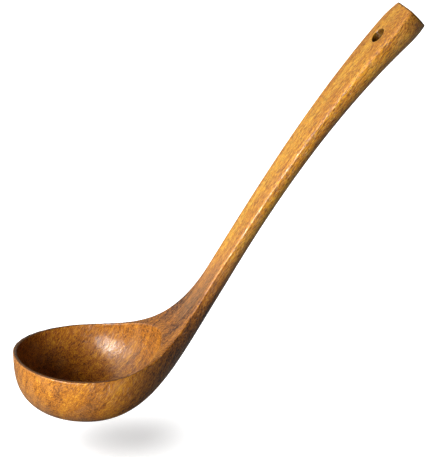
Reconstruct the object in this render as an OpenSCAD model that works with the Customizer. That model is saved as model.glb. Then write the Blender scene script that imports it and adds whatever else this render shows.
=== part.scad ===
// Wooden ladle carved from one blank: a deep round bowl, a neck and a long handle
// with a hanging hole. Millimetres. The shape is worked out about the middle of the
// rim, with +X towards the handle and +Z up, and is then moved so that the origin is
// at the centre of the hanging hole.

/* [Bowl] */
// From the middle of the rim to the front tip of the bowl
bowl_front = 43.9; // [38:0.1:48]
// Width of the bowl across the rim
bowl_w = 82.6; // [78:0.2:88]
// Depth of the bowl below the middle of the rim, outside
bowl_d = 39; // [36:0.1:44]
// How far the front tip of the rim rises above its middle
tip_rise = 2.6; // [0:0.2:5]
// Thickness of the rim at the sides and at the front
rim_t = 2.2; // [2:0.2:3.6]
// Thickness of the floor under the hollow
floor_t = 4.5; // [3:0.5:6]
// From the middle of the rim to the back edge of the hollow
hollow_back = 43; // [40:1:46]

/* [Neck] */
// From the middle of the rim to the top of the neck
neck_x = 74; // [70:0.2:78]
// Height of the top of the neck above the middle of the rim
neck_z = 43.9; // [40:0.1:46]
// Width of the top of the neck
neck_w = 18.2; // [16:0.1:22]
// Thickness of the top of the neck
neck_t = 11.8; // [10:0.1:14]

/* [Handle] */
// Length of the handle from the neck to the end, measured along the neck's slope
handle_l = 189.5; // [150:0.5:230]
// Slope of the handle at the neck, in degrees
handle_slope = 58; // [56:0.2:62]
// How far the end of the handle droops below that slope
droop = 14.5; // [8:0.1:20]
// Thickness that the middle of the handle slims towards
slim_t = 10.5; // [8:0.1:13]
// Thickness of the end of the handle
end_t = 19; // [14:0.1:21]
// Width that the handle flares to, before its two end corners are eased
end_w = 29.8; // [24:0.2:36]
// How far each side is eased in at the end
end_ease = 3.7; // [2:0.2:7]
// Length of the eased stretch of each side
ease_l = 14; // [8:1:18]
// Rounding of the edges round the end face
end_r = 0.5; // [0.4:0.1:1.6]
// Height of the rounded top face above its edges, at the end of the handle
crown = 3.2; // [1:0.2:4]

/* [Hanging hole] */
// Diameter of the hanging hole
hole_d = 9; // [6:0.5:12]
// From the end of the handle to the centre of the hole, measured along the neck's slope
hole_inset = 22; // [18:0.5:30]

/* [Hidden] */
wood = [0.72, 0.43, 0.16];
front_steps = 9;    // rings over the front of the bowl
back_steps = 16;    // rings from the middle of the bowl to the neck
handle_steps = 9;   // rings along the handle
ease_steps = 4;     // rings along its eased end
top_steps = 5;      // points across half of a ring's top
under_steps = 9;    // points across half of a ring's underside
hollow_sides = 44;  // points round the hollow
hollow_rings = 10;  // rings down the hollow
keel_back = 1.2;    // where the lowest line of the bowl starts its back half
hollow_x = 0.6;     // middle of the hollow's edge
lid_h = 8;          // how far the hollow's cutter stands above the rim
rim_crown = 0.4;    // crown of the rim, before the neck's crown takes over
neck_crown = 1;     // crown at the top of the neck, before the handle's takes over
mid_swell = 0.8;    // extra half width half way along the handle
mid_crown = 0.8;    // extra crown half way along the handle
under_ease = 1.5;   // how far the underside is eased up at the end
top_rounding = 0.5; // share of the end rounding that the top face takes

// Levers of the curves from the middle of the bowl to the neck
top_reach = 32.2;
top_pull = 47.4;
under_reach = 34.9;
under_pull = 54.3;
side_reach = -1.4;  // added to the half width
neck_half_w = 9.6;

// Powers: 2 is a circle or a parabola, and more is squarer or later
front_keel_power = 3.2;
front_plan_power = 2.05;
hollow_power = 2.12;
top_power = 5;
bowl_power = 2.24;
under_power = 1.95;
flare_power = 1.75;
ease_power = 2;
droop_power = 2.83;

function mix(a, b, t) = a + (b - a) * t;
function bezier(p, t) = pow(1 - t, 3) * p[0] + 3 * t * pow(1 - t, 2) * p[1]
    + 3 * t * t * (1 - t) * p[2] + pow(t, 3) * p[3];

// Along the handle, and from its top face to its underside, at a slope
function along(slope) = [cos(slope), sin(slope)];
function inward(slope) = [sin(slope), -cos(slope)];

// A station of the ladle is its top point, its bottom point, both [x, z], its half
// width, the crown of its top, and the roundness of its top and of its underside.

// Front of the bowl, t degrees from the tip: 90 is the middle of the bowl
function front_top(t) = [-bowl_front * cos(t), tip_rise * pow(cos(t), 2)];
function front_station(t) = let (top = front_top(t)) [
    top,
    [mix(-bowl_front, keel_back, 1 - cos(t)),
        top[1] - (bowl_d + top[1]) * pow(sin(t), 2 / front_keel_power)],
    bowl_w / 2 * pow(sin(t), 2 / front_plan_power), rim_crown, 2, bowl_power];

// Back of the bowl and the neck, v from 0 at the middle of the bowl to 1
neck_top = [neck_x, neck_z];
neck_under = neck_top + neck_t * inward(handle_slope);
function back_top(v) =
    bezier([[0, 0], [top_reach, 0], neck_top - top_pull * along(handle_slope), neck_top], v);
function back_under(v) = bezier([[keel_back, -bowl_d], [keel_back + under_reach, -bowl_d],
    neck_under - under_pull * along(handle_slope), neck_under], v);
function back_half_w(v) =
    bezier([bowl_w / 2, bowl_w / 2 + side_reach, neck_half_w, neck_w / 2], v);
function back_station(v) = [back_top(v), back_under(v), back_half_w(v),
    mix(rim_crown, neck_crown, v * v), mix(2, top_power, v * v), mix(bowl_power, under_power, v)];

// Handle, at a distance along the neck's slope: its top face droops more and more
function slope_at(d) = handle_slope
    - atan(droop_power * droop / handle_l * pow(d / handle_l, droop_power - 1));
function handle_top(d) = neck_top + d * along(handle_slope)
    + droop * pow(d / handle_l, droop_power) * inward(handle_slope);
function handle_t(s) = neck_t + (slim_t - neck_t) * 4 * s * (1 - s) + (end_t - neck_t) * s * s;
function handle_half_w(s) = neck_w / 2 + mid_swell * 4 * s * (1 - s)
    + (end_w - neck_w) / 2 * pow(s, flare_power);
function eased(d) = pow(max(0, d - handle_l + ease_l) / ease_l, ease_power);
function handle_station(d, cut = 0) = let (s = d / handle_l, n = inward(slope_at(d))) [
    handle_top(d) + n * cut * top_rounding,
    handle_top(d) + n * (handle_t(s) - under_ease * eased(d) - cut),
    handle_half_w(s) - end_ease * eased(d) - cut,
    mix(neck_crown, crown, s) + mid_crown * 4 * s * (1 - s), top_power, under_power];

ease_start = handle_l - ease_l;
stations = concat(
    [for (i = [1 : front_steps - 1]) front_station(90 * i / front_steps)],
    [for (i = [0 : back_steps - 1]) back_station(i / back_steps)],
    [for (i = [0 : handle_steps - 1]) handle_station(ease_start * i / handle_steps)],
    [for (i = [0 : ease_steps]) handle_station(ease_start + (ease_l - end_r) * i / ease_steps)],
    [for (a = [45, 90]) handle_station(handle_l - end_r + end_r * sin(a), end_r * (1 - cos(a)))]);

// One closed ring of points round a station, from the middle of its top face
function half_ring(w, thick, c, p, q) = concat(
    [for (i = [0 : top_steps]) let (a = 90 - 90 * i / top_steps)
        [w * pow(cos(a), 2 / p), c * (1 - pow(sin(a), 2 / p))]],
    [for (i = [1 : under_steps]) let (a = 90 * i / under_steps)
        [w * pow(cos(a), 2 / q), c + (thick - c) * pow(sin(a), 2 / q)]]);
function ring(s) = let (thick = norm(s[1] - s[0]), down = (s[1] - s[0]) / thick,
    half = half_ring(s[2], thick, min(s[3], 0.45 * thick), s[4], s[5]), n = len(half))
    [for (k = [0 : 2 * n - 3]) let (p = half[k < n ? k : 2 * n - 2 - k], side = k < n ? 1 : -1)
        [s[0][0] + down[0] * p[1], side * p[0], s[0][1] + down[1] * p[1]]];

// A skin over rings of the same number of points, closed by a point or a flat face
module skin(rings, tip, flat_end) {
    n = len(rings[0]);
    last = len(rings) * n;
    polyhedron(
        points = concat([for (r = rings) each r], [tip]),
        faces = concat(
            [for (j = [0 : n - 1]) [last, (j + 1) % n, j]],
            [for (i = [0 : len(rings) - 2], j = [0 : n - 1]) let (a = i * n, k = (j + 1) % n)
                each [[a + j, a + k, a + n + k], [a + j, a + n + k, a + n + j]]],
            [flat_end]));
}

module outside() {
    n = 2 * (top_steps + under_steps);
    first = (len(stations) - 1) * n;
    skin([for (s = stations) ring(s)], [front_top(0)[0], 0, front_top(0)[1]],
        [for (j = [0 : n - 1]) first + j]);
}

// The hollow is an oval at the rim that closes to a point at its floor
top_line = concat(
    [for (i = [0 : front_steps]) front_top(90 * i / front_steps)],
    [for (i = [1 : back_steps]) back_top(i / back_steps)]);
function hollow_edge(a) = let (reach = cos(a) > 0 ? hollow_back - hollow_x
    : bowl_front - rim_t + hollow_x, x = hollow_x + reach * cos(a))
    [x, (bowl_w / 2 - rim_t) * sin(a), lookup(x, top_line)];
function hollow_point(a, e) = let (p = hollow_edge(a), r = pow(cos(e), 2 / hollow_power))
    [mix(hollow_x, p[0], r), p[1] * r,
        mix(p[2], floor_t - bowl_d, pow(sin(e), 2 / hollow_power))];

module hollow() {
    turn = [for (j = [hollow_sides : -1 : 1]) 360 * j / hollow_sides];
    down = [for (i = [hollow_rings - 1 : -1 : 0]) 90 * i / hollow_rings];
    rings = concat([for (e = down) [for (a = turn) hollow_point(a, e)]],
        [[for (a = turn) hollow_edge(a) + [0, 0, lid_h]]]);
    first = (len(rings) - 1) * hollow_sides;
    skin(rings, [hollow_x, 0, floor_t - bowl_d], [for (j = [0 : hollow_sides - 1]) first + j]);
}

// Centre of the hanging hole, half way through the handle
hole_at = handle_l - hole_inset;
hole_slope = slope_at(hole_at);
hole_centre = handle_top(hole_at) + inward(hole_slope) * handle_t(hole_at / handle_l) / 2;

module hanging_hole()
    translate([hole_centre[0], 0, hole_centre[1]])
        rotate([0, -hole_slope, 0])
            cylinder(d = hole_d, h = 3 * end_t, center = true, $fn = 48);

module ladle()
    color(wood) translate([-hole_centre[0], 0, -hole_centre[1]]) difference() {
        outside();
        hollow();
        hanging_hole();
    }

ladle();
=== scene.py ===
"""Carved wooden ladle: the looks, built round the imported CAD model."""
import math

import bpy
import bmesh
import numpy as np
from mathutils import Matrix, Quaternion, Vector
from mathutils.bvhtree import BVHTree
from mathutils.kdtree import KDTree


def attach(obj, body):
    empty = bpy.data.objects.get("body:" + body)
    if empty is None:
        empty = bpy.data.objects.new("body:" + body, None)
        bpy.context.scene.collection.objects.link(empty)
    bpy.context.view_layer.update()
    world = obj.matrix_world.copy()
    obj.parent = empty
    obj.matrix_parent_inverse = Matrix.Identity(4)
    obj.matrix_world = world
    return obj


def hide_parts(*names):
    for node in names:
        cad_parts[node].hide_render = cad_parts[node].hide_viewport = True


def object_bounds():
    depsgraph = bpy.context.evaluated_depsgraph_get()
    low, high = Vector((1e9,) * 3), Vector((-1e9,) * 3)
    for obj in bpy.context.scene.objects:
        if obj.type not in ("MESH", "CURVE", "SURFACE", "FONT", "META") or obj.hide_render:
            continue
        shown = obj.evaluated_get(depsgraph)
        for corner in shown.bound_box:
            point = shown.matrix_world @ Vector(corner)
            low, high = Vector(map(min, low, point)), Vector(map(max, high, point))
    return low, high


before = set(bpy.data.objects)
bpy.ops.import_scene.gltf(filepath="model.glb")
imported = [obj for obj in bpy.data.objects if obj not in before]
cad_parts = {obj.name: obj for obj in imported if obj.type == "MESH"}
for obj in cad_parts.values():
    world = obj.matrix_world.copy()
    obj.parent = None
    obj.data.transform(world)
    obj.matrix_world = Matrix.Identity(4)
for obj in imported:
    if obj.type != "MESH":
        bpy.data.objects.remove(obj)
CAD_LOW, CAD_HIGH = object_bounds()
MM = 0.001                      # a millimetre in metres, the frame's unit
PER_METRE = 1000                # millimetres in a metre

# -------------------------------------------- the design's sizes, in millimetres and degrees
BOWL_FRONT, BOWL_W, BOWL_D, TIP_RISE = 43.9, 82.6, 39.0, 2.6
RIM_T, FLOOR_T, HOLLOW_X, HOLLOW_BACK = 2.2, 4.5, 0.6, 43.0
NECK_X, NECK_Z, NECK_W, NECK_T = 74.0, 43.9, 18.2, 11.8
HANDLE_L, HANDLE_SLOPE, DROOP = 189.5, 58.0, 14.5
SLIM_T, END_T, END_W, END_R = 10.5, 19.0, 29.8, 0.5
CROWN, MID_CROWN, NECK_CROWN, RIM_CROWN = 3.2, 0.8, 1.0, 0.4
MOST_CROWN = 0.45               # of the thickness
END_EASE, EASE_L, UNDER_EASE, MID_SWELL, TOP_ROUNDING = 3.7, 14.0, 1.5, 0.8, 0.5
HOLE_D, HOLE_INSET = 9.0, 22.0
KEEL_BACK, TOP_REACH, TOP_PULL, UNDER_REACH, UNDER_PULL = 1.2, 32.2, 47.4, 34.9, 54.3
SIDE_REACH, NECK_HALF_W = -1.4, 9.6
FRONT_KEEL_POWER, FRONT_PLAN_POWER, HOLLOW_POWER, BOWL_POWER = 3.2, 2.05, 2.12, 2.24
TOP_POWER, UNDER_POWER, FLARE_POWER, EASE_POWER, DROOP_POWER = 5.0, 1.95, 1.75, 2.0, 2.83

# how finely the skins and the cutters are sampled
FRONT_STEPS, BACK_STEPS, HANDLE_STEPS, EASE_STEPS, END_STEPS = 60, 100, 130, 16, 8
TOP_STEPS, UNDER_STEPS = 28, 52
RIM_FRONT_STEPS, RIM_BACK_STEPS = 60, 90
HOLLOW_SIDES, HOLLOW_RINGS = 220, 70
HOLE_SIDES = 96
LID_H = 8                       # how far the hollow's cutter stands above the rim
DRILL_L = 50                    # of the hanging hole's cutter, more than the handle's thickness

# remeshing, and how near a crease the skin is left soft
VOXEL = 0.45 * MM
SOFTEN_BY, SOFTEN_TIMES = 0.5, 3
MOST_FACES = 190000
CREASE_ANGLE = 30
SOFT_WITHIN, EXACT_BEYOND = 0.5 * MM, 1.3 * MM


def cos(a):
    return math.cos(math.radians(a))


def sin(a):
    return math.sin(math.radians(a))


def mix(a, b, t):
    return a + (b - a) * t


def bezier(p, t):
    p = np.asarray(p, float)
    return ((1 - t) ** 3 * p[0] + 3 * t * (1 - t) ** 2 * p[1]
            + 3 * t * t * (1 - t) * p[2] + t ** 3 * p[3])


def along(slope):
    return np.array([cos(slope), sin(slope)])


def inward(slope):
    return np.array([sin(slope), -cos(slope)])


# -------------------------------------------- shape: the same rules as the CAD source
NECK_TOP = np.array([NECK_X, NECK_Z])
NECK_UNDER = NECK_TOP + NECK_T * inward(HANDLE_SLOPE)


def front_top(t):
    return np.array([-BOWL_FRONT * cos(t), TIP_RISE * cos(t) ** 2])


# A station is its top point, its bottom point, its half width, the crown of its top, and the
# roundness of its top and of its underside.
def front_station(t):
    """Front of the bowl, t degrees from its tip: 90 is the middle of the bowl."""
    top = front_top(t)
    under = [mix(-BOWL_FRONT, KEEL_BACK, 1 - cos(t)),
             top[1] - (BOWL_D + top[1]) * sin(t) ** (2 / FRONT_KEEL_POWER)]
    half_w = BOWL_W / 2 * sin(t) ** (2 / FRONT_PLAN_POWER)
    return top, np.array(under), half_w, RIM_CROWN, 2, BOWL_POWER


def back_top(v):
    return bezier([[0, 0], [TOP_REACH, 0], NECK_TOP - TOP_PULL * along(HANDLE_SLOPE), NECK_TOP], v)


def back_station(v):
    """Back of the bowl and the neck, from 0 at the middle of the bowl to 1."""
    under = bezier([[KEEL_BACK, -BOWL_D], [KEEL_BACK + UNDER_REACH, -BOWL_D],
                    NECK_UNDER - UNDER_PULL * along(HANDLE_SLOPE), NECK_UNDER], v)
    half_w = bezier([[BOWL_W / 2], [BOWL_W / 2 + SIDE_REACH], [NECK_HALF_W], [NECK_W / 2]], v)[0]
    crown = mix(RIM_CROWN, NECK_CROWN, v * v)
    return back_top(v), under, half_w, crown, mix(2, TOP_POWER, v * v), mix(BOWL_POWER, UNDER_POWER, v)


def slope_at(d):
    steepness = DROOP_POWER * DROOP / HANDLE_L * (d / HANDLE_L) ** (DROOP_POWER - 1)
    return HANDLE_SLOPE - math.degrees(math.atan(steepness))


def handle_top(d):
    drop = DROOP * (d / HANDLE_L) ** DROOP_POWER
    return NECK_TOP + d * along(HANDLE_SLOPE) + drop * inward(HANDLE_SLOPE)


def handle_t(s):
    return NECK_T + (SLIM_T - NECK_T) * 4 * s * (1 - s) + (END_T - NECK_T) * s * s


def handle_half_w(s):
    return NECK_W / 2 + MID_SWELL * 4 * s * (1 - s) + (END_W - NECK_W) / 2 * s ** FLARE_POWER


def eased(d):
    return (max(0, d - HANDLE_L + EASE_L) / EASE_L) ** EASE_POWER


def handle_station(d, cut=0.0):
    """Handle at a distance along the neck's slope, cut back all round by the end's rounding."""
    s = d / HANDLE_L
    down = inward(slope_at(d))
    top = handle_top(d) + down * cut * TOP_ROUNDING
    under = handle_top(d) + down * (handle_t(s) - UNDER_EASE * eased(d) - cut)
    half_w = handle_half_w(s) - END_EASE * eased(d) - cut
    crown = mix(NECK_CROWN, CROWN, s) + MID_CROWN * 4 * s * (1 - s)
    return top, under, half_w, crown, TOP_POWER, UNDER_POWER


def ring(station):
    """One closed ring of points round a station, from the middle of its top face."""
    top, under, w, crown, p, q = station
    thick = float(np.hypot(*(under - top)))
    down = (under - top) / thick
    c = min(crown, MOST_CROWN * thick)
    half = []
    for i in range(TOP_STEPS + 1):
        a = 90 - 90 * i / TOP_STEPS
        half.append((w * max(cos(a), 0) ** (2 / p), c * (1 - sin(a) ** (2 / p))))
    for i in range(1, UNDER_STEPS + 1):
        a = 90 * i / UNDER_STEPS
        half.append((w * max(cos(a), 0) ** (2 / q), c + (thick - c) * sin(a) ** (2 / q)))
    loop = half + [(-y, h) for y, h in reversed(half[1:-1])]
    return [(top[0] + down[0] * h, y, top[1] + down[1] * h) for y, h in loop]


def hollow_rings():
    """Rings of the hollow from just above its floor up to a lid that stands above the rim."""
    line = [front_top(90 * i / RIM_FRONT_STEPS) for i in range(RIM_FRONT_STEPS)]
    line += [back_top(i / RIM_BACK_STEPS) for i in range(RIM_BACK_STEPS + 1)]
    xs = [p[0] for p in line]
    zs = [p[1] for p in line]
    edge = []
    for j in range(HOLLOW_SIDES):
        a = 360 * j / HOLLOW_SIDES
        reach = HOLLOW_BACK - HOLLOW_X if cos(a) > 0 else BOWL_FRONT - RIM_T + HOLLOW_X
        x = HOLLOW_X + reach * cos(a)
        edge.append((x, (BOWL_W / 2 - RIM_T) * sin(a), float(np.interp(x, xs, zs))))
    edge = edge[::-1]
    rings = []
    for i in range(HOLLOW_RINGS - 1, -1, -1):
        e = 90 * i / HOLLOW_RINGS
        r = cos(e) ** (2 / HOLLOW_POWER)
        d = sin(e) ** (2 / HOLLOW_POWER)
        rings.append([(mix(HOLLOW_X, x, r), y * r, mix(z, FLOOR_T - BOWL_D, d)) for x, y, z in edge])
    rings.append([(x, y, z + LID_H) for x, y, z in edge])
    return rings


HOLE_AT = HANDLE_L - HOLE_INSET
HOLE_SLOPE = slope_at(HOLE_AT)
HOLE_CENTRE = handle_top(HOLE_AT) + inward(HOLE_SLOPE) * handle_t(HOLE_AT / HANDLE_L) / 2
END_SLOPE = slope_at(HANDLE_L)
END_AT = float(along(END_SLOPE) @ (handle_top(HANDLE_L) - HOLE_CENTRE))


def to_frame(points):
    """Millimetres about the rim's middle, to metres about the hanging hole."""
    p = np.asarray(points, float) - np.array([HOLE_CENTRE[0], 0, HOLE_CENTRE[1]])
    return p * MM


def skin(name, rings, tip):
    """A closed mesh over rings of the same number of points, from a point to a flat face."""
    n = len(rings[0])
    points = to_frame([p for r in rings for p in r] + [tip])
    last = len(rings) * n
    faces = [(last, (j + 1) % n, j) for j in range(n)]
    for i in range(len(rings) - 1):
        for j in range(n):
            a, k = i * n, (j + 1) % n
            faces.append((a + j, a + k, a + n + k, a + n + j))
    faces.append(tuple(last - n + j for j in range(n)))
    mesh = bpy.data.meshes.new(name)
    mesh.from_pydata([tuple(p) for p in points], [], faces)
    piece = bpy.data.objects.new(name, mesh)
    bpy.context.scene.collection.objects.link(piece)
    bm = bmesh.new()
    bm.from_mesh(mesh)
    bmesh.ops.recalc_face_normals(bm, faces=bm.faces)
    bm.to_mesh(mesh)
    bm.free()
    return piece


def stations():
    rows = [front_station(90 * i / FRONT_STEPS) for i in range(1, FRONT_STEPS)]
    rows += [back_station(i / BACK_STEPS) for i in range(BACK_STEPS)]
    start = HANDLE_L - EASE_L
    rows += [handle_station(start * i / HANDLE_STEPS) for i in range(HANDLE_STEPS)]
    rows += [handle_station(start + (EASE_L - END_R) * i / EASE_STEPS) for i in range(EASE_STEPS + 1)]
    for i in range(1, END_STEPS + 1):
        a = 90 * i / END_STEPS
        rows.append(handle_station(HANDLE_L - END_R + END_R * sin(a), END_R * (1 - cos(a))))
    return rows


def hanging_hole():
    bpy.ops.mesh.primitive_cylinder_add(vertices=HOLE_SIDES, radius=HOLE_D / 2 * MM, depth=DRILL_L * MM)
    drill = bpy.context.active_object
    drill.rotation_euler = (0, -math.radians(HOLE_SLOPE), 0)
    return drill


def settle(piece):
    """Turns a piece's modifiers into its mesh."""
    graph = bpy.context.evaluated_depsgraph_get()
    made = bpy.data.meshes.new_from_object(piece.evaluated_get(graph))
    piece.modifiers.clear()
    old = piece.data
    piece.data = made
    bpy.data.meshes.remove(old)


def crease_points(mesh, spacing):
    """Points along every edge at which the mesh turns sharply."""
    bm = bmesh.new()
    bm.from_mesh(mesh)
    bm.normal_update()
    limit = math.radians(CREASE_ANGLE)
    points = []
    for edge in bm.edges:
        if len(edge.link_faces) == 2 and edge.calc_face_angle(0) > limit:
            a, b = edge.verts[0].co, edge.verts[1].co
            n = max(1, int((b - a).length / spacing))
            points += [a.lerp(b, i / n) for i in range(n)]
    bm.free()
    return points


def return_to(piece, exact):
    """Puts a remeshed skin back on the exact one, except where it rounds the creases."""
    points = crease_points(exact, SOFT_WITHIN / 2)
    creases = KDTree(len(points))
    for i, p in enumerate(points):
        creases.insert(p, i)
    creases.balance()
    surface = BVHTree.FromPolygons([v.co for v in exact.vertices],
                                   [tuple(p.vertices) for p in exact.polygons])
    for v in piece.data.vertices:
        away = creases.find(v.co)[2]
        t = min(max((away - SOFT_WITHIN) / (EXACT_BEYOND - SOFT_WITHIN), 0), 1)
        if t > 0:
            v.co = v.co.lerp(surface.find_nearest(v.co)[0], t)


def make_ladle():
    tip = front_top(0)
    body = skin("carved_ladle", [ring(s) for s in stations()], (tip[0], 0, tip[1]))
    cutters = [skin("hollow", hollow_rings(), (HOLLOW_X, 0, FLOOR_T - BOWL_D)), hanging_hole()]
    for cutter in cutters:
        cut = body.modifiers.new("cut", "BOOLEAN")
        cut.operation = "DIFFERENCE"
        cut.solver = "MANIFOLD"
        cut.object = cutter
    settle(body)
    for cutter in cutters:
        bpy.data.objects.remove(cutter)
    exact = body.data.copy()
    remesh = body.modifiers.new("even", "REMESH")
    remesh.mode = "VOXEL"
    remesh.voxel_size = VOXEL
    soften = body.modifiers.new("soften", "SMOOTH")
    soften.factor = SOFTEN_BY
    soften.iterations = SOFTEN_TIMES
    settle(body)
    return_to(body, exact)
    bpy.data.meshes.remove(exact)
    thin = body.modifiers.new("thin", "DECIMATE")
    thin.ratio = min(1, MOST_FACES / (2 * len(body.data.polygons)))
    settle(body)
    body.data.polygons.foreach_set("use_smooth", [True] * len(body.data.polygons))
    return body


ladle = make_ladle()


# -------------------------------------------- shader graphs
# sockets of the mix node that take and give colours
MIX_FACTOR, MIX_FIRST, MIX_SECOND, MIX_RESULT = 0, 6, 7, 2


class Graph:
    """Adds shader nodes: a value or colour goes into a socket, and a socket is linked."""

    def __init__(self, tree):
        self.tree = tree

    def add(self, kind, settings=None, **inputs):
        node = self.tree.nodes.new(kind)
        for name, value in (settings or {}).items():
            setattr(node, name, value)
        for name, value in inputs.items():
            self.feed(node, name.replace("_", " "), value)
        return node

    def feed(self, node, name, value):
        socket = node.inputs[int(name)] if name.isdigit() else node.inputs[name]
        if isinstance(value, bpy.types.NodeSocket):
            self.tree.links.new(value, socket)
        else:
            socket.default_value = value

    def math(self, operation, a, b=0.0, c=0.0):
        node = self.add("ShaderNodeMath", {"operation": operation})
        for i, value in enumerate((a, b, c)):
            self.feed(node, str(i), value)
        return node.outputs[0]

    def remap(self, value, low, high, to_low=0.0, to_high=1.0):
        node = self.add("ShaderNodeMapRange", {"interpolation_type": "SMOOTHSTEP"}, Value=value,
                        From_Min=low, From_Max=high, To_Min=to_low, To_Max=to_high)
        return node.outputs["Result"]

    def axes(self, vector):
        return self.add("ShaderNodeSeparateXYZ", Vector=vector).outputs

    def vector_math(self, operation, a, b, output):
        node = self.add("ShaderNodeVectorMath", {"operation": operation})
        self.feed(node, "0", a)
        self.feed(node, "1", b)
        return node.outputs[output]

    def turned(self, place, slope):
        """A place in millimetres, with its first axis turned up to a slope."""
        node = self.add("ShaderNodeMapping", Vector=place, Rotation=(0, math.radians(slope), 0),
                        Scale=(PER_METRE, PER_METRE, PER_METRE))
        return node.outputs[0]

    def grain_noise(self, grain, name):
        squeeze, scale, detail, roughness, distortion = NOISES[name]
        squeezed = self.vector_math("MULTIPLY", grain, (squeeze, 1, 1), "Vector")
        node = self.add("ShaderNodeTexNoise", Vector=squeezed, Scale=scale, Detail=detail,
                        Roughness=roughness, Distortion=distortion)
        return node.outputs["Fac"]

    def blend(self, colour, other, amount):
        node = self.add("ShaderNodeMix", {"data_type": "RGBA"})
        self.feed(node, str(MIX_FACTOR), amount)
        self.feed(node, str(MIX_FIRST), colour)
        self.feed(node, str(MIX_SECOND), (*other, 1))
        return node.outputs[MIX_RESULT]

    def ramp(self, value, stops):
        node = self.add("ShaderNodeValToRGB", Fac=value)
        elements = node.color_ramp.elements
        while len(elements) < len(stops):
            elements.new(1.0)
        for element, (place, colour) in zip(elements, stops):
            element.position, element.color = place, (*colour, 1)
        return node.outputs["Color"]


# -------------------------------------------- wood
GRAIN_SLOPE = 55.0              # the blank's grain runs along the handle, through the bowl as well
GRAIN_SPAN = (-300.0, 25.0)     # along the grain, from before the bowl to the handle's end
PITH = (-105.0, 40.0)           # across the grain, sideways and downwards
RING_WANDER = 24.0              # how far the growth rings stray from circles
RINGS = {"Scale": 0.12, "Detail": 3.0, "Roughness": 0.6}

# Noises in the wood: how much each is squeezed along the grain, which makes its marks long, then
# its scale, per millimetre across the grain, its detail, its roughness and its distortion
NOISES = {
    "wander": (0.15, 0.04, 2.0, 0.55, 0.0),
    "figure": (0.45, 0.06, 2.0, 0.5, 0.5),
    "streak": (0.05, 0.38, 2.0, 0.6, 0.0),
    "fibre": (0.20, 1.45, 2.0, 0.7, 0.6),
    "grit": (0.18, 1.8, 2.0, 0.7, 0.4),
    "fleck": (0.42, 2.0, 1.0, 0.6, 1.2),
    "pale": (0.25, 0.06, 2.0, 0.5, 0.3),
    "pore": (0.16, 2.2, 1.0, 0.5, 0.0),
}

# The tone: a start, what follows the grain's length, and what each pattern adds.
# The places along the grain go from 0 before the bowl past the neck to 1 at the handle's end.
TONE_START = -1.76
# Along the grain's length the tone is partly the wood's own colour and partly painted shade and light:
# darker at the neck, lighter along the handle.
TONE_AND_SHADE_ALONG = [(0.0, 0.46), (0.18, 0.51), (0.26, 0.38), (0.33, 0.22), (0.39, 0.42), (0.46, 0.74),
              (0.86, 0.76), (1.0, 0.72)]
RING_TONE = 0.55
NOISE_TONES = [("figure", 0.20), ("streak", 0.60), ("fibre", 0.55), ("grit", 1.50)]
FLECKS = (0.50, 0.66, 0.0, 0.18)

DARK = (0.040, 0.014, 0.003)
BROWN = (0.155, 0.055, 0.009)
ORANGE = (0.385, 0.142, 0.017)
GOLD = (0.53, 0.222, 0.016)
HONEY = (0.67, 0.375, 0.045)
TAN = (0.52, 0.280, 0.110)
COLOURS = [(0.0, DARK), (0.22, BROWN), (0.5, ORANGE), (0.72, GOLD), (1.0, HONEY)]

# Each of these turns a value between its first two numbers into one between its last two.
PALE_PATCHES = (0.48, 0.68, 0.0, 0.22)
PORES = (0.52, 0.64, 0.0, 1.0)
PORE_DEPTH = (0.36, 0.50, 0.08, 0.60)               # along the grain: faint on the bowl
# Painted shade: the handle's end edge and the bowl's upward-facing lip are darkened as if in shade.
END_SHADE = (END_AT - 1.2, END_AT - 0.6, 0.0, 1.4)  # over the last millimetre of the handle
LIP_FACING = (0.60, 0.90, 0.0, 1.0)                 # upward part of the surface's normal
LIP_HEIGHT = (-HOLE_CENTRE[1] - 8, -HOLE_CENTRE[1] - 4, 0.0, 1.0)   # from 8 mm below the rim
LIP_FADE = (20 - HOLE_CENTRE[0], 44 - HOLE_CENTRE[0], 1.0, 0.0)     # towards the neck
# Painted shade inside the hanging hole.
HOLE_SHADE = (HOLE_D / 2 + 0.1, HOLE_D / 2 + 0.5, 0.75, 0.0)
# How far the painted edge shade darkens the wood, and how far the end grain darkens it with its own
# darker colour.
EDGE_SHADE, END_GRAIN = 0.45, 0.45   # how far each darkens the wood
END_GRAIN_POWER = 4.0
PORE_SINK = 0.6                 # share of a fibre's height
BUMP = 0.18 * MM


def growth_rings(g, grain):
    """Bands at a distance from the pith, bent by the tree's slow wander."""
    axes = g.axes(grain)
    side = g.math("SUBTRACT", axes["Y"], PITH[0])
    below = g.math("ADD", axes["Z"], PITH[1])
    reach = g.math("SQRT", g.math("ADD", g.math("POWER", side, 2.0), g.math("POWER", below, 2.0)))
    reach = g.math("MULTIPLY_ADD", g.grain_noise(grain, "wander"), RING_WANDER, reach)
    return g.add("ShaderNodeTexNoise", {"noise_dimensions": "1D"}, W=reach, **RINGS).outputs["Fac"]


def wood_tone(g, grain, along_grain, noises):
    stops = [(at, (tone, tone, tone)) for at, tone in TONE_AND_SHADE_ALONG]
    tone = g.math("ADD", g.ramp(along_grain, stops), TONE_START)
    tone = g.math("MULTIPLY_ADD", growth_rings(g, grain), RING_TONE, tone)
    for name, weight in NOISE_TONES:
        tone = g.math("MULTIPLY_ADD", noises[name], weight, tone)
    return g.math("ADD", tone, g.remap(noises["fleck"], *FLECKS))


def end_grain(g, normal):
    """How squarely the surface cuts the grain."""
    across = g.vector_math("DOT_PRODUCT", normal, (cos(GRAIN_SLOPE), 0, sin(GRAIN_SLOPE)), "Value")
    return g.math("POWER", g.math("ABSOLUTE", across), END_GRAIN_POWER)


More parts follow.
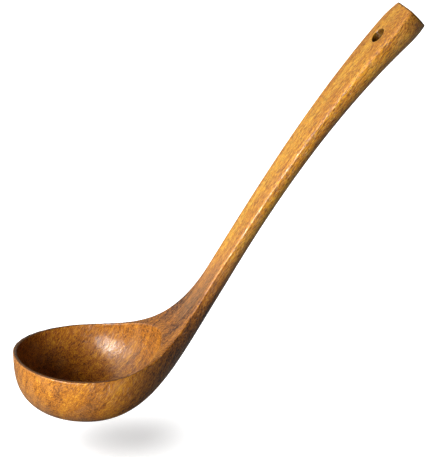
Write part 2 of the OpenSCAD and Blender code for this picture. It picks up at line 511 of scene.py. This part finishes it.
def stained_edges(g, place, normal):
    """Painted shade on the handle's sawn end edge and on the bowl's upward-facing lip."""
    towards_end = (PER_METRE * cos(END_SLOPE), 0, PER_METRE * sin(END_SLOPE))
    end_face = g.remap(g.vector_math("DOT_PRODUCT", place, towards_end, "Value"), *END_SHADE)
    spot = g.axes(g.vector_math("MULTIPLY", place, (PER_METRE, PER_METRE, PER_METRE), "Vector"))
    lip = g.math("MULTIPLY", g.remap(g.axes(normal)["Z"], *LIP_FACING), g.remap(spot["Z"], *LIP_HEIGHT))
    lip = g.math("MULTIPLY", lip, g.remap(spot["X"], *LIP_FADE))
    return g.math("MAXIMUM", end_face, lip)


def hole_wall(g, place):
    """Painted shade on the drilled wall of the hanging hole."""
    flat = g.vector_math("MULTIPLY", g.turned(place, HOLE_SLOPE), (1, 1, 0), "Vector")
    from_axis = g.add("ShaderNodeVectorMath", {"operation": "LENGTH"}, Vector=flat).outputs["Value"]
    return g.remap(from_axis, *HOLE_SHADE)


def wood_material():
    material = bpy.data.materials.new("lacquered_wood")
    material.use_nodes = True
    g = Graph(material.node_tree)
    coordinates = g.add("ShaderNodeTexCoord").outputs
    place, normal = coordinates["Object"], coordinates["Normal"]
    grain = g.turned(place, GRAIN_SLOPE)
    along_grain = g.add("ShaderNodeMapRange", Value=g.axes(grain)["X"], From_Min=GRAIN_SPAN[0],
                        From_Max=GRAIN_SPAN[1]).outputs["Result"]
    noises = {name: g.grain_noise(grain, name) for name in NOISES if name != "wander"}

    colour = g.ramp(wood_tone(g, grain, along_grain, noises), COLOURS)
    colour = g.blend(colour, TAN, g.remap(noises["pale"], *PALE_PATCHES))

    # pores are dashes where the surface follows the grain, and dots where it cuts it
    pores = g.remap(noises["pore"], *PORES)
    colour = g.blend(colour, DARK, g.math("MULTIPLY", pores, g.remap(along_grain, *PORE_DEPTH)))
    colour = g.blend(colour, DARK, g.math("MULTIPLY", end_grain(g, normal), END_GRAIN))
    # painted shade on the handle's end edge and the bowl's lip
    colour = g.blend(colour, DARK, g.math("MULTIPLY", stained_edges(g, place, normal), EDGE_SHADE))
    # painted shade inside the hanging hole
    colour = g.blend(colour, DARK, hole_wall(g, place))

    height = g.math("SUBTRACT", noises["fibre"], g.math("MULTIPLY", pores, PORE_SINK))
    bump = g.add("ShaderNodeBump", Strength=1.0, Distance=BUMP, Height=height).outputs[0]
    shader = material.node_tree.nodes["Principled BSDF"]
    for name, value in {"Base Color": colour, "Normal": bump, "Coat Normal": bump,
                        "Roughness": 0.5, "Specular IOR Level": 0.05, "Coat Weight": 1.0,
                        "Coat Roughness": 0.20, "Coat IOR": 1.60}.items():
        g.feed(shader, name, value)
    return material


ladle.data.materials.clear()
ladle.data.materials.append(wood_material())
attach(ladle, "root")
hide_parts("ladle")

# -------------------------------------------- floor and surroundings
FLOOR_SIZE = 8.0                # metres
FLOOR_GAP = 18 * MM             # the ladle floats above the floor
GLOW = 0.26                     # the floor's own brightness: even its shadow stays pale
WHITE = 0.9                     # the floor as the camera sees it
BOUNCE = 0.15                   # the floor as the ladle sees it
SURROUND = 0.015                # the room as the ladle sees it


def two_faced(tree, seen, felt, output):
    """What the camera sees directly, and what lights the ladle by bouncing."""
    path = tree.nodes.new("ShaderNodeLightPath")
    mixer = tree.nodes.new("ShaderNodeMixShader")
    tree.links.new(path.outputs["Is Camera Ray"], mixer.inputs["Fac"])
    tree.links.new(felt.outputs[0], mixer.inputs[1])
    tree.links.new(seen.outputs[0], mixer.inputs[2])
    tree.links.new(mixer.outputs[0], output.inputs["Surface"])


def make_floor():
    bpy.ops.mesh.primitive_plane_add(size=FLOOR_SIZE)
    floor = bpy.context.active_object
    floor.name = "floor"
    floor.location = (0, 0, CAD_LOW.z - FLOOR_GAP)
    material = bpy.data.materials.new("pale_floor")
    material.use_nodes = True
    nodes = material.node_tree.nodes
    links = material.node_tree.links
    nodes.remove(nodes["Principled BSDF"])
    lit = nodes.new("ShaderNodeBsdfDiffuse")
    seen = nodes.new("ShaderNodeAddShader")
    felt = nodes.new("ShaderNodeBsdfDiffuse")
    glow = nodes.new("ShaderNodeEmission")
    glow.inputs["Strength"].default_value = GLOW
    links.new(glow.outputs[0], seen.inputs[0])
    links.new(lit.outputs[0], seen.inputs[1])
    lit.inputs["Color"].default_value = (WHITE, WHITE, WHITE, 1)
    felt.inputs["Color"].default_value = (BOUNCE, BOUNCE, BOUNCE, 1)
    two_faced(material.node_tree, seen, felt, nodes["Material Output"])
    floor.data.materials.append(material)
    return floor


def make_world():
    world = bpy.data.worlds.new("studio")
    world.use_nodes = True
    nodes = world.node_tree.nodes
    seen = nodes["Background"]
    felt = nodes.new("ShaderNodeBackground")
    seen.inputs["Color"].default_value = (1, 1, 1, 1)
    felt.inputs["Color"].default_value = (1, 1, 1, 1)
    felt.inputs["Strength"].default_value = SURROUND
    two_faced(world.node_tree, seen, felt, nodes["World Output"])
    bpy.context.scene.world = world


floor = make_floor()
make_world()
bpy.context.scene.view_settings.view_transform = "Standard"
bpy.context.scene.view_settings.look = "Medium High Contrast"

# -------------------------------------------- camera
CAM_AZ, CAM_EL, CAM_ROLL = -15.56, 21.27, 0.66      # degrees
CAM_DIST = 1.09792                                  # metres from what it looks at
LENS = 148.76                                       # millimetres
TARGET = Vector(to_frame([(77.2, 0, 70.31)])[0])


def direction(azimuth, elevation):
    """From the target: azimuth 0 is in front of the ladle, and -90 is to its left."""
    return Vector((sin(azimuth) * cos(elevation), -cos(azimuth) * cos(elevation), sin(elevation)))


def make_camera():
    data = bpy.data.cameras.new("camera")
    data.lens = LENS
    camera = bpy.data.objects.new("camera", data)
    bpy.context.scene.collection.objects.link(camera)
    back = direction(CAM_AZ, CAM_EL)
    camera.location = TARGET + back * CAM_DIST
    camera.rotation_mode = "QUATERNION"
    roll = Quaternion((0, 0, 1), math.radians(CAM_ROLL))
    camera.rotation_quaternion = (-back).to_track_quat("-Z", "Y") @ roll
    bpy.context.scene.camera = camera


make_camera()


# -------------------------------------------- lights
# Softboxes and white walls: name, azimuth, elevation, distance, width and height, radiance
PANELS = [
    ("key", -49, 2, 1.1, (0.46, 1.0), 21.0),
    ("left_wall", -95, 8, 1.0, (1.8, 2.0), 1.6),
    ("back_wall", 180, 10, 1.5, (3.0, 3.0), 0.26),
]
# The floor's own lamp, which spreads wide enough to leave a soft shadow
SUN_AZ, SUN_EL, SUN_DIST = -100, 40, 1.0
SUN_SPREAD, SUN_STRENGTH = 112, 6.9


def light_only(lamp, piece):
    """Keeps a lamp's light to one object, though others still cast shadows in it."""
    group = bpy.data.collections.new(lamp.name + "_lights")
    group.objects.link(piece)
    lamp.light_linking.receiver_collection = group


def place_lamp(name, data, azimuth, elevation, distance, piece):
    lamp = bpy.data.objects.new(name, data)
    bpy.context.scene.collection.objects.link(lamp)
    back = direction(azimuth, elevation)
    lamp.location = TARGET + back * distance
    lamp.rotation_mode = "QUATERNION"
    lamp.rotation_quaternion = back.to_track_quat("Z", "Y")
    lamp.visible_camera = False
    light_only(lamp, piece)


def panel(name, azimuth, elevation, distance, size, radiance):
    """A softbox or white wall turned to the ladle."""
    data = bpy.data.lights.new(name, "AREA")
    data.shape = "RECTANGLE"
    data.size, data.size_y = size
    data.energy = radiance * math.pi * size[0] * size[1]
    place_lamp(name, data, azimuth, elevation, distance, ladle)


def floor_sun():
    data = bpy.data.lights.new("floor_sun", "SUN")
    data.angle = math.radians(SUN_SPREAD)
    data.energy = SUN_STRENGTH
    place_lamp("floor_sun", data, SUN_AZ, SUN_EL, SUN_DIST, floor)


for name, azimuth, elevation, distance, size, radiance in PANELS:
    panel(name, azimuth, elevation, distance, size, radiance)
floor_sun()
